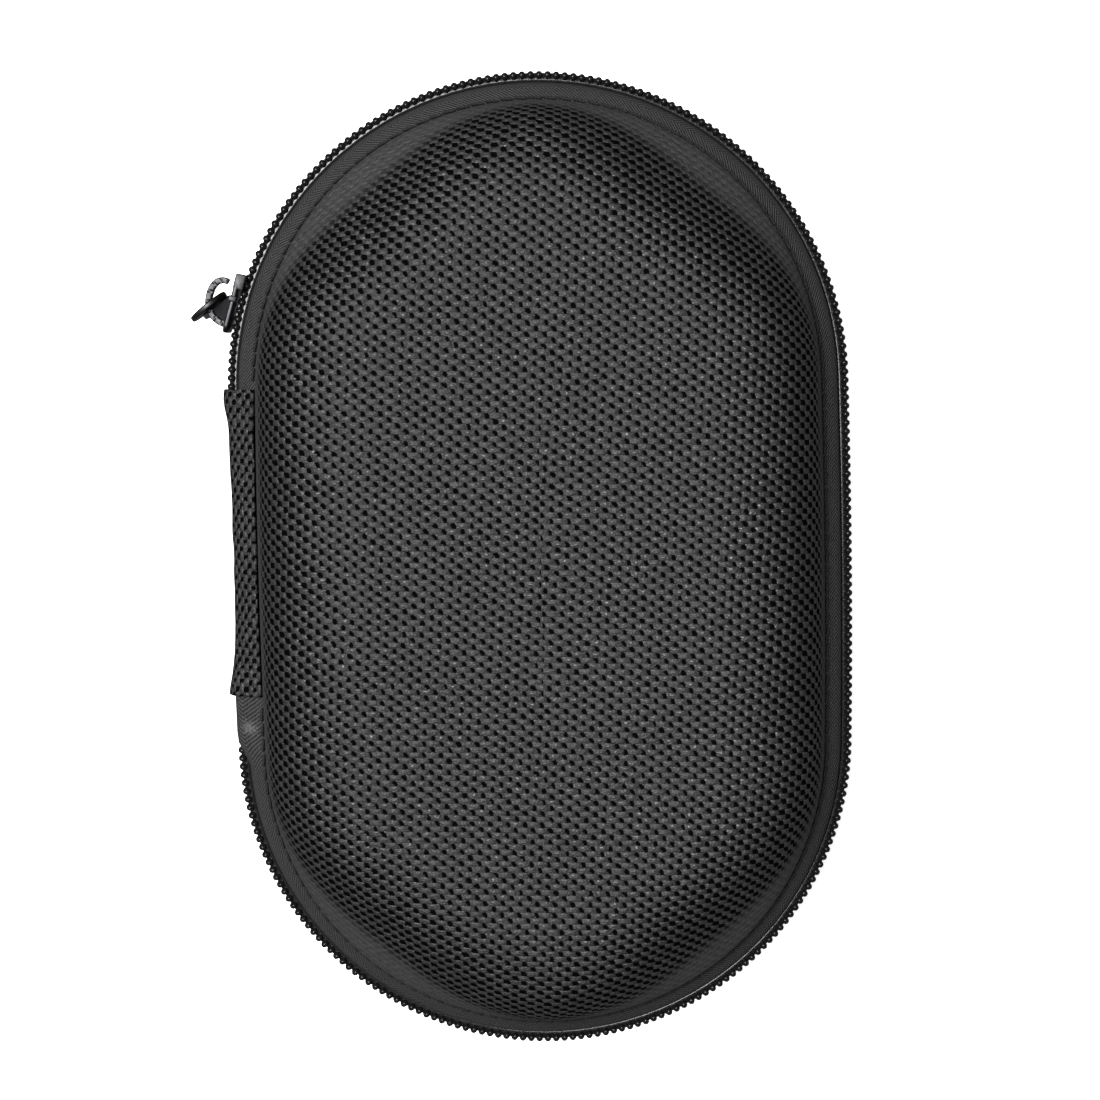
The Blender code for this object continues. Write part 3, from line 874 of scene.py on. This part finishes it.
class CASE_OT_binding(bpy.types.Operator):
    """Bind the raw edges inside both rims"""

    bl_idname = "case.binding"
    bl_label = "Edge binding"

    def execute(self, context):
        under = RIM_HEIGHT - 1.4 * MM
        for half_name, _, half in HALVES:
            rows = []
            for weight in (0, 1):
                back = [p for p in dome_line(weight, BINDING_DEPTH) if p.y < 9.6 * MM]
                face = [p for p in dome_line(weight, BINDING_DEPTH + BINDING)][: len(back)]
                foot = RIM_INSET + 1.0 * MM
                top = back[-1].lerp(face[-1], 0.5) + Vector((0.02 * MM, 0.16 * MM))
                rows.append(
                    [
                        Vector((foot + 0.1 * MM, under - BINDING)),
                        Vector((foot, under - BINDING / 2)),
                        Vector((foot + 0.1 * MM, under)),
                        Vector((back[0].x, under)),
                        *back[1:],
                        top,
                        *reversed(face[1:]),
                        Vector((face[0].x, under + 0.3 * MM)),
                        Vector((face[0].x - 0.15 * MM, under - BINDING + 0.15 * MM)),
                        Vector((face[0].x - 0.5 * MM, under - BINDING)),
                    ]
                )
            bm = bmesh.new()
            row = swept(bm, rows[0], half, step=2.5 * MM)
            unroll(bm, along_and_across(row, rows[0]))
            for vert in bm.verts:
                settle(vert, row, rows, half)
            finished(
                bm,
                f"{half_name}_edge_binding",
                ribbed_binding,
                "edge_binding",
                half_name,
                f"{half_name}_binding",
            )
        return {"FINISHED"}


class CASE_OT_foam_core(bpy.types.Operator):
    """Give the foam cores their finish"""

    bl_idname = "case.foam_core"
    bl_label = "Foam core"

    def execute(self, context):
        foam = finish_of(closed_cell_foam)
        for half_name, _, _ in HALVES:
            frame["nodes"][f"{half_name}_eva_core"].material_slots[0].material = foam
        return {"FINISHED"}


class CASE_OT_zip_tape(bpy.types.Operator):
    """Weave the zip tapes round both halves"""

    bl_idname = "case.zip_tape"
    bl_label = "Zip tape"

    def execute(self, context):
        face = smooth(
            [
                (1.65, 0.55),
                (1.65, 1.7),
                (1.75, 2.6),
                (2.2, 3.35),
                (3.0, 4.1),
                (3.8, 4.75),
                (4.4, 5.15),
                (5.2, 5.25),
                (8.3, 5.25),
            ],
            3,
        )
        back = moved_in(face, 0.45)
        section = [Vector(point) * MM for point in (*face, *reversed(back))]
        start = flank_along(SPINE_BOTTOM + 3 * MM)
        stop = flank_along(SPINE_TOP - 3 * MM)
        for half_name, zip_word, half in HALVES:
            bm = bmesh.new()
            row = swept(bm, section, half, start, stop, step=2 * MM)
            unroll(bm, along_and_across(row, section))
            for vert in bm.verts:
                # Just below the spine the tape's end is folded, so it stands out over the coil's first teeth.
                outward, inset, _, _ = whereabouts(vert.co.x, vert.co.y)
                y = vert.co.y / MM
                if vert.co.x < 0 and FOLD_START < y < FOLD_END:
                    fold = ease((y - FOLD_START) / 5) * ease((FOLD_END - y) / 2)
                    out = ease((4.6 - inset / MM) / 2.6)
                    flat = vert.co.xy + outward * (FOLD_OUT * MM * fold * out)
                    vert.co = (flat.x, flat.y, vert.co.z)
            finished(
                bm,
                f"{zip_word}_woven_tape",
                herringbone_tape,
                "zip_tape",
                half_name,
                f"{zip_word}_zip_tape",
                angle=60,
            )
        return {"FINISHED"}


class CASE_OT_zip_coil(bpy.types.Operator):
    """Set the teeth of both zip coils, each head between two of the other coil's"""

    bl_idname = "case.zip_coil"
    bl_label = "Zip coil"

    def execute(self, context):
        pitch = context.scene.case_sizes.tooth_pitch
        start = flank_along(-30 * MM)
        stop = flank_along(SPINE_TOP - 3 * MM)
        slider = whereabouts(*SLIDER_PLACE.xy)[2]
        count = math.floor((stop - start) / pitch)
        core = [(0.3, 0.75), (0.12, 1.05), (0.4, 1.4), (1.0, 1.5), (1.85, 1.5), (1.85, 0.75)]
        core = [(inset * MM, height * MM) for inset, height in core]
        for half_name, zip_word, half in HALVES:
            bm = bmesh.new()
            swept(bm, core, half, start, stop, step=3 * MM)
            slant = Matrix.Rotation(half * math.radians(8), 4, "Y")
            places = [start + (i + (0.25 if half == UP else 0.75)) * pitch for i in range(count)]
            bodies = [facing(along, 0.42 * MM, 1.5 * MM, half) @ slant for along in places]
            free = [along for along in places if abs(along - slider - 3 * MM) > 3 * MM]
            heads = [facing(along, 0.5 * MM, 0.35 * MM, half) for along in free]
            tooth = bmesh.new()
            lie = Matrix.Rotation(math.pi / 2, 4, "X") @ Matrix.Diagonal((0.62 * MM, 0.96 * MM, 0.7 * MM, 1))
            bmesh.ops.create_uvsphere(tooth, u_segments=10, v_segments=6, radius=1, matrix=lie)
            repeated(bm, tooth, bodies)
            rounded_boxes(bm, heads, (0.56 * MM, 1.05 * MM, 1.1 * MM), 0.18 * MM)
            finished(
                bm,
                f"{zip_word}_tooth_coil",
                moulded_coil,
                "zip_coil",
                half_name,
                f"{zip_word}_zip_coil",
                angle=180,
            )
        return {"FINISHED"}


class CASE_OT_seam_stitches(bpy.types.Operator):
    """Sew the seams between the tape and the shells"""

    bl_idname = "case.seam_stitches"
    bl_label = "Seam stitches"

    def execute(self, context):
        stitch = context.scene.case_sizes.stitch
        start = flank_along(SPINE_BOTTOM - 0.3 * MM)
        stop = flank_along(SPINE_TOP + 0.3 * MM)
        count = math.floor((stop - start) / stitch)
        for half_name, _, half in HALVES:
            bm = bmesh.new()
            lie = Matrix.Rotation(math.radians(5), 4, "Z") @ Matrix.Rotation(half * math.radians(4), 4, "Y")
            places = [start + (i + 0.5) * stitch for i in range(count)]
            spots = [facing(place, 4.42 * MM, 5.72 * MM, half) @ lie for place in places]
            rounded_boxes(bm, spots, (0.86 * stitch, 0.46 * MM, 0.46 * MM), 0.18 * MM)
            unroll(bm, lambda vert: (whereabouts(vert.co.x, vert.co.y)[2] / MM, vert.co.z / MM))
            finished(
                bm,
                f"{half_name}_lockstitch",
                twisted_thread,
                "seam_thread",
                half_name,
                f"{half_name}_seam_thread",
            )
        return {"FINISHED"}


class CASE_OT_spine(bpy.types.Operator):
    """Wrap the fabric spine across the hinge, and line it behind"""

    bl_idname = "case.spine"
    bl_label = "Spine"

    def execute(self, context):
        quarter = [(4.45, 6.3), (3.5, 5.95), (2.5, 5.4), (1.5, 4.75), (0.65, 4.0), (0.15, 3.1), (-0.1, 2.0)]
        quarter.append((-0.18, 1.0))
        line = smooth([*quarter, (-0.2, 0.0), *[(inset, -height) for inset, height in reversed(quarter)]], 3)
        section = [Vector(point) * MM for point in line]
        across = lengths(section)
        bm = bmesh.new()
        start, stop = [flank_along(end + SPINE_SHIFT) for end in (SPINE_TOP, SPINE_BOTTOM)]
        row = swept(bm, section, UP, start, stop, step=0.8 * MM, closed=False)
        unroll(bm, lambda vert: (vert.co.y / MM * 1.15, across[round(vert[row])] / MM * 1.15))
        for vert in bm.verts:
            height = abs(vert.co.z - ZIP_Z)
            side = max(0.0, 1 - height / (5.2 * MM)) ** 0.5
            top = math.exp(-(((SPINE_TOP - vert.co.y) / (3.4 * MM)) ** 2))
            bottom = math.exp(-(((vert.co.y - SPINE_BOTTOM) / (6.4 * MM)) ** 2)) * 1.3
            middle = 0.45 * math.cos(math.pi * (vert.co.y - 3 * MM) / (52 * MM)) ** 2
            vert.co.x -= (top + bottom - middle) * side * MM
            vert.co.x += 0.14 * MM * noise.noise(vert.co * 240)
            vert.co.z += 0.10 * MM * noise.noise(vert.co * 200 + Vector((5, 5, 5)))
        cover = finished(
            bm, "spine_wrap", spine_nylon, "nylon_fabric", None, "spine_cover_base", "spine_cover_lid"
        )
        thickened(cover, 0.6 * MM)
        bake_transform(cover)

        low, high = 0.15 * MM, 3.6 * MM
        corners = ((0, low), (0, high), (STRIP, high), (STRIP, low))
        strip = [Vector((RIM_INSET + inset, height)) for inset, height in corners]
        for half_name, _, half in HALVES:
            bm = bmesh.new()
            swept(bm, strip, half, start, stop, step=1.5 * MM)
            unroll(bm, lambda vert: (vert.co.y / MM, vert.co.z / MM))
            finished(
                bm,
                f"spine_knit_{half_name}",
                brushed_knit,
                "knit_lining",
                half_name,
                f"spine_lining_{half_name}",
            )
        return {"FINISHED"}


class CASE_OT_mesh_pocket(bpy.types.Operator):
    """Stretch the mesh pocket across the lid, with its elastic hem"""

    bl_idname = "case.mesh_pocket"
    bl_label = "Mesh pocket"

    def execute(self, context):
        cell = context.scene.case_sizes.mesh_cell
        low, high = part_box("mesh_pocket")
        inset = HALF_WIDTH - high.x
        level = (low.z + high.z) / 2
        bm = bmesh.new()
        span = max(high.x, -low.y) * 2.2
        count = round(span / cell)
        turn = Matrix.Translation((0, (low.y + high.y) / 2, level)) @ Matrix.Rotation(math.pi / 4, 4, "Z")
        bmesh.ops.create_grid(bm, x_segments=count, y_segments=count, size=span / 2 * 1.15, matrix=turn)
        outside = []
        for face in bm.faces:
            middle = face.calc_center_median()
            if middle.y > high.y - 0.4 * MM or whereabouts(middle.x, middle.y)[1] < inset + 1.0 * MM:
                outside.append(face)
        bmesh.ops.delete(bm, geom=outside, context="FACES")
        for vert in bm.verts:
            vert.co.z += 0.25 * MM * noise.noise(vert.co * 60)
        made = finished(
            bm, "pocket_mesh_panel", knitted_mesh, "pocket_mesh", "lid", "mesh_pocket", face_out=False
        )
        strands = made.modifiers.new("strands", "WIREFRAME")
        strands.thickness = 0.42 * MM
        strands.use_even_offset = False

        bm = bmesh.new()
        edge = [Vector(p) * MM for p in ((0, -0.35), (0, 0.35), (2.4, 0.3), (2.6, 0), (2.4, -0.3))]
        section = [Vector((inset + p.x, level - ZIP_Z + p.y)) for p in edge]
        row = swept(bm, section, UP, flank_along(high.y), flank_along(high.y) - 2e-6, step=1.5 * MM)
        cut = [face for face in bm.faces if face.calc_center_median().y > high.y]
        bmesh.ops.delete(bm, geom=cut, context="FACES")
        unroll(bm, along_and_across(row, section))
        finished(bm, "pocket_edge_tape", ribbed_binding, "edge_binding", "lid")

        low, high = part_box("pocket_elastic_hem")
        size = high - low
        middle = (low + high) / 2
        bm = bmesh.new()
        rounded_boxes(bm, [Matrix.Translation(middle)], size, size.z * 0.4, segments=3)
        long_edges = [e for e in bm.edges if abs(e.verts[0].co.x - e.verts[1].co.x) > size.x / 2]
        bmesh.ops.subdivide_edges(bm, edges=long_edges, cuts=150, use_grid_fill=False)
        for vert in bm.verts:
            uneven = noise.noise(Vector((vert.co.x * 300, 0, 0)))
            ripple = math.sin(vert.co.x / MM * 2.1) * 0.12 + 0.1 * uneven
            vert.co.z += ripple * MM
            vert.co.y += 0.12 * MM * math.sin(vert.co.x / MM * 0.8)
        finished(bm, "pocket_elastic", ribbed_elastic, "edge_binding", "lid", "pocket_elastic_hem")
        return {"FINISHED"}


def slab(bm, outline, low, high, matrix, radius, segments=2):
    """A flat outline between two levels with its rims rounded. A matrix puts it in place."""
    old = set(bm.verts)
    bottom = bm.faces.new([bm.verts.new((x, y, low)) for x, y in outline])
    made = bmesh.ops.extrude_face_region(bm, geom=[bottom])
    top = [item for item in made["geom"] if isinstance(item, bmesh.types.BMVert)]
    bmesh.ops.translate(bm, verts=top, vec=(0, 0, high - low))
    verts = [vert for vert in bm.verts if vert not in old]
    edges = {edge for vert in verts for edge in vert.link_edges}
    rims = [edge for edge in edges if abs(edge.verts[0].co.z - edge.verts[1].co.z) < 1e-9]
    bmesh.ops.bevel(bm, geom=rims, offset=radius, affect="EDGES", segments=segments, profile=0.5, material=-1)
    bmesh.ops.transform(bm, matrix=matrix, verts=[vert for vert in bm.verts if vert not in old])


def bent_strap(bm, points, width, low, high, matrix, radius, count=4):
    """A strap of this width along a smooth path, between two levels, with its rims rounded."""
    old = set(bm.verts)
    path = smooth([(*point, low) for point in points], count)
    pairs = []
    for i, point in enumerate(path):
        along = (path[min(i + 1, len(path) - 1)] - path[max(i - 1, 0)]).normalized()
        taper = 1.0 if 0 < i < len(path) - 1 else 0.6
        across = Vector((along.y, -along.x, 0)) * width / 2 * taper
        pairs.append((bm.verts.new(point + across), bm.verts.new(point - across)))
    faces = [bm.faces.new((a, b, d, c)) for (a, b), (c, d) in zip(pairs, pairs[1:])]
    made = bmesh.ops.extrude_face_region(bm, geom=faces)
    top = [item for item in made["geom"] if isinstance(item, bmesh.types.BMVert)]
    bmesh.ops.translate(bm, verts=top, vec=(0, 0, high - low))
    verts = [vert for vert in bm.verts if vert not in old]
    edges = {edge for vert in verts for edge in vert.link_edges}
    rims = [edge for edge in edges if len(edge.link_faces) == 2 and edge.calc_face_angle() > math.radians(60)]
    rims = [edge for edge in rims if abs(edge.verts[0].co.z - edge.verts[1].co.z) < 1e-9]
    bmesh.ops.bevel(bm, geom=rims, offset=radius, affect="EDGES", segments=3, profile=0.5, material=-1)
    bmesh.ops.transform(bm, matrix=matrix, verts=[vert for vert in bm.verts if vert not in old])


def rounded_outline(corners, radius, count=5):
    """Corners joined by small arcs."""
    outline = []
    for i, corner in enumerate(corners):
        corner = Vector(corner)
        before = (Vector(corners[i - 1]) - corner).normalized() * radius
        after = (Vector(corners[(i + 1) % len(corners)]) - corner).normalized() * radius
        for k in range(count + 1):
            t = k / count
            start, stop = (corner + before) * (1 - t) ** 2, (corner + after) * t**2
            outline.append(start + corner * 2 * t * (1 - t) + stop)
    return outline


class CASE_OT_slider(bpy.types.Operator):
    """Cast the zip slider with its crown"""

    bl_idname = "case.slider"
    bl_label = "Slider"

    def execute(self, context):
        stand = Matrix.Translation(SLIDER_PLACE) @ Matrix.Rotation(SLIDER_ANGLE, 4, "Z") @ Matrix.Scale(MM, 4)
        # Its own space, in millimetres: X away from the case, Y along the zip to the spine, Z up.
        face_on = Matrix(((0, 0, 1, 0), (1, 0, 0, 0), (0, 1, 0, 0), (0, 0, 0, 1)))
        bm = bmesh.new()
        plate = rounded_outline(
            [(-5, -2.6), (-3.2, -3.8), (-0.6, -3.7), (1.5, -3.9), (4.2, -3.9), (5, -3.1)]
            + [(5, 3.1), (4.2, 3.9), (1.5, 3.9), (-0.6, 3.7), (-3.2, 3.8), (-5, 2.6)],
            0.5,
        )
        slab(bm, plate, 0.55, 1.35, stand @ face_on, 0.26, 3)
        inner = rounded_outline(
            [(-4.5, -1.5), (-2.5, -2.5), (3.6, -2.5), (4.5, -1.6)]
            + [(4.5, 1.6), (3.6, 2.5), (-2.5, 2.5), (-4.5, 1.5)],
            0.5,
        )
        slab(bm, inner, -3.5, -2.65, stand @ face_on, 0.25, 2)
        post = rounded_outline([(-2.9, 2.0), (0.9, 2.0), (0.9, 4.0), (-2.9, 4.0)], 0.3)
        slab(bm, post, -0.25, 0.25, stand, 0.06, 1)
        # The flanges that fold over the coils, with the open mouth between them.
        for side in (1, -1):
            ends = ((-5.0, -2.4, -0.3, 1.45, 3.75), (-1.25, -0.2, 0.35, 1.75, 3.9))
            for first, last, back, out, top in ends:
                flange = rounded_outline([(back, first), (out, first), (out, last), (back, last)], 0.35)
                low, high = sorted((side * (top - 0.85), side * top))
                slab(bm, flange, low, high, stand, 0.24, 2)
        # The crown hooks over the pull's eye, with a web behind it that the pull passes beside.
        path = [(1.1, 3.75), (2.4, 3.6), (3.7, 3.0), (4.7, 1.9), (5.2, 0.3)]
        path += [(5.15, -1.4), (4.6, -2.7), (3.6, -3.3), (2.75, -3.2)]
        bent_strap(bm, path, 1.0, -1.2, 1.2, stand, 0.17)
        corners = [(1.2, -0.9), (2.1, -0.9), (4.3, 1.9), (3.5, 2.7), (2.3, 3.3), (1.2, 3.4)]
        web = rounded_outline(corners, 0.2, 2)
        tipped = stand @ Matrix.Rotation(math.radians(-20), 4, "Y")
        slab(bm, web, -1.8, -0.9, tipped, 0.12, 1)
        finished(bm, "slider_casting", dark_plating, "dark_nickel", "slider", "slider_body", angle=35)
        return {"FINISHED"}


class CASE_OT_pull(bpy.types.Operator):
    """Stamp the pull tab that hangs from the crown"""

    bl_idname = "case.pull"
    bl_label = "Pull tab"

    def execute(self, context):
        swing = SLIDER_ANGLE + math.radians(54)
        upright = Matrix.Rotation(swing, 4, "Z") @ Matrix.Rotation(math.pi / 2, 4, "X")
        stand = Matrix.Translation(PIVOTS["pull_swing"]) @ upright @ Matrix.Scale(MM, 4)
        # Its own space, in millimetres: X across the pull, Y up, Z through its thickness.
        outer, inner = [], []
        count = 72
        for i in range(count):
            angle = 2 * math.pi * i / count
            ray = Vector((math.cos(angle), math.sin(angle)))
            reach = 3.6
            while abs(ray.x * (reach + 0.02)) < self.half_width(-ray.y * (reach + 0.02)):
                reach += 0.02
            outer.append(ray * reach)
            inner.append(ray * 1.85)
        bm = bmesh.new()
        loops = []
        for line in (outer, inner):
            verts = [bm.verts.new((*point, -0.45)) for point in line]
            loops += [bm.edges.new((verts[i - 1], verts[i])) for i in range(count)]
        bmesh.ops.bridge_loops(bm, edges=loops)
        made = bmesh.ops.extrude_face_region(bm, geom=bm.faces[:])
        top = [item for item in made["geom"] if isinstance(item, bmesh.types.BMVert)]
        bmesh.ops.translate(bm, verts=top, vec=(0, 0, 0.9))
        bmesh.ops.recalc_face_normals(bm, faces=bm.faces)
        joined = [edge for edge in bm.edges if len(edge.link_faces) == 2]
        rims = [edge for edge in joined if edge.calc_face_angle() > math.radians(60)]
        bmesh.ops.bevel(bm, geom=rims, offset=0.24, affect="EDGES", segments=3, profile=0.5, material=-1)
        bmesh.ops.transform(bm, matrix=stand, verts=bm.verts)
        finished(bm, "pull_stamping", dark_plating, "dark_nickel", "pull", "pull_tab", angle=35)
        return {"FINISHED"}

    @staticmethod
    def half_width(drop):
        """Half the pull's width at a distance below its eye: a waist that widens to a round toe."""
        toe, foot = 3.0, 14.4
        if drop > foot:
            return 0.0
        if drop > foot - toe:
            return math.sqrt(max(0.0, toe**2 - (drop - foot + toe) ** 2))
        if drop < 2.0:
            return 0.0
        return 2.2 + 0.8 * max(0.0, (drop - 6.5) / (foot - toe - 6.5)) ** 1.2


class CASE_OT_stage(bpy.types.Operator):
    """Lay the floor, hang the lights and set the camera"""

    bl_idname = "case.stage"
    bl_label = "Stage"

    def execute(self, context):
        scene = context.scene
        studio = scene.case_studio
        bm = bmesh.new()
        bmesh.ops.create_grid(bm, x_segments=8, y_segments=8, size=3.0)
        floor = finished(bm, "studio_floor", pale_floor, "floor")
        del floor["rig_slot"]
        shader = floor.data.materials[0].node_tree.nodes["Principled BSDF"]
        shader.inputs["Emission Color"].default_value = (1, 1, 1, 1)
        shader.inputs["Emission Strength"].default_value = studio.glow
        floor.visible_diffuse = False
        floor.visible_glossy = False

        world = bpy.data.worlds.new("studio_room")
        world.use_nodes = True
        world.node_tree.nodes["Background"].inputs["Color"].default_value = (1, 1, 1, 1)
        world.node_tree.nodes["Background"].inputs["Strength"].default_value = studio.sky
        scene.world = world
        for name, place, size, power in (
            ("overhead_softbox", (-0.2, 0.17, 0.84), 0.32, studio.lamp),
            ("side_fill", (-0.7, -0.1, 0.45), 0.5, studio.lamp * 0.05),
        ):
            lamp = bpy.data.lights.new(name, "AREA")
            lamp.energy = power
            lamp.size = size
            made = bpy.data.objects.new(name, lamp)
            made.location = place
            made.rotation_euler = (-Vector(place)).to_track_quat("-Z", "Y").to_euler()
            scene.collection.objects.link(made)

        camera = bpy.data.objects.new("camera", bpy.data.cameras.new("camera"))
        camera.data.sensor_width = 36
        camera.data.lens = 36 * studio.distance / studio.field
        camera.data.clip_start = 0.01
        look = Matrix.Rotation(-studio.tilt, 4, "X") @ Matrix.Rotation(studio.roll, 4, "Z")
        camera.location = Vector((*studio.aim, ZIP_Z)) + look.to_3x3() @ Vector((0, 0, studio.distance))
        camera.rotation_euler = look.to_euler()
        scene.collection.objects.link(camera)
        scene.camera = camera
        scene.view_settings.view_transform = "Standard"
        return {"FINISHED"}


STEPS = (
    CASE_OT_outer_fabric,
    CASE_OT_lining,
    CASE_OT_binding,
    CASE_OT_foam_core,
    CASE_OT_zip_tape,
    CASE_OT_zip_coil,
    CASE_OT_seam_stitches,
    CASE_OT_spine,
    CASE_OT_mesh_pocket,
    CASE_OT_slider,
    CASE_OT_pull,
    CASE_OT_stage,
)


class CASE_PT_panel(bpy.types.Panel):
    """Sizes, colours and steps of the carrying case"""

    bl_idname = "CASE_PT_panel"
    bl_label = "Carrying case"
    bl_space_type = "VIEW_3D"
    bl_region_type = "UI"
    bl_category = "Case"

    def draw(self, context):
        layout = self.layout
        for group in (context.scene.case_sizes, context.scene.case_colours, context.scene.case_studio):
            column = layout.column(align=True)
            for name in group.__annotations__:
                column.prop(group, name)
        for step in STEPS:
            layout.operator(step.bl_idname)


GROUPS = {"case_sizes": CaseSizes, "case_colours": CaseColours, "case_studio": CaseStudio}


def register():
    for made in (*GROUPS.values(), *STEPS, CASE_PT_panel):
        bpy.utils.register_class(made)
    for name, group in GROUPS.items():
        setattr(bpy.types.Scene, name, bpy.props.PointerProperty(type=group))


def unregister():
    for name in GROUPS:
        delattr(bpy.types.Scene, name)
    for made in (CASE_PT_panel, *reversed(STEPS), *reversed(GROUPS.values())):
        bpy.utils.unregister_class(made)


def main():
    register()
    for step in STEPS:
        getattr(bpy.ops.case, step.bl_idname.split(".")[1])()


if __name__ == "__main__":
    main()
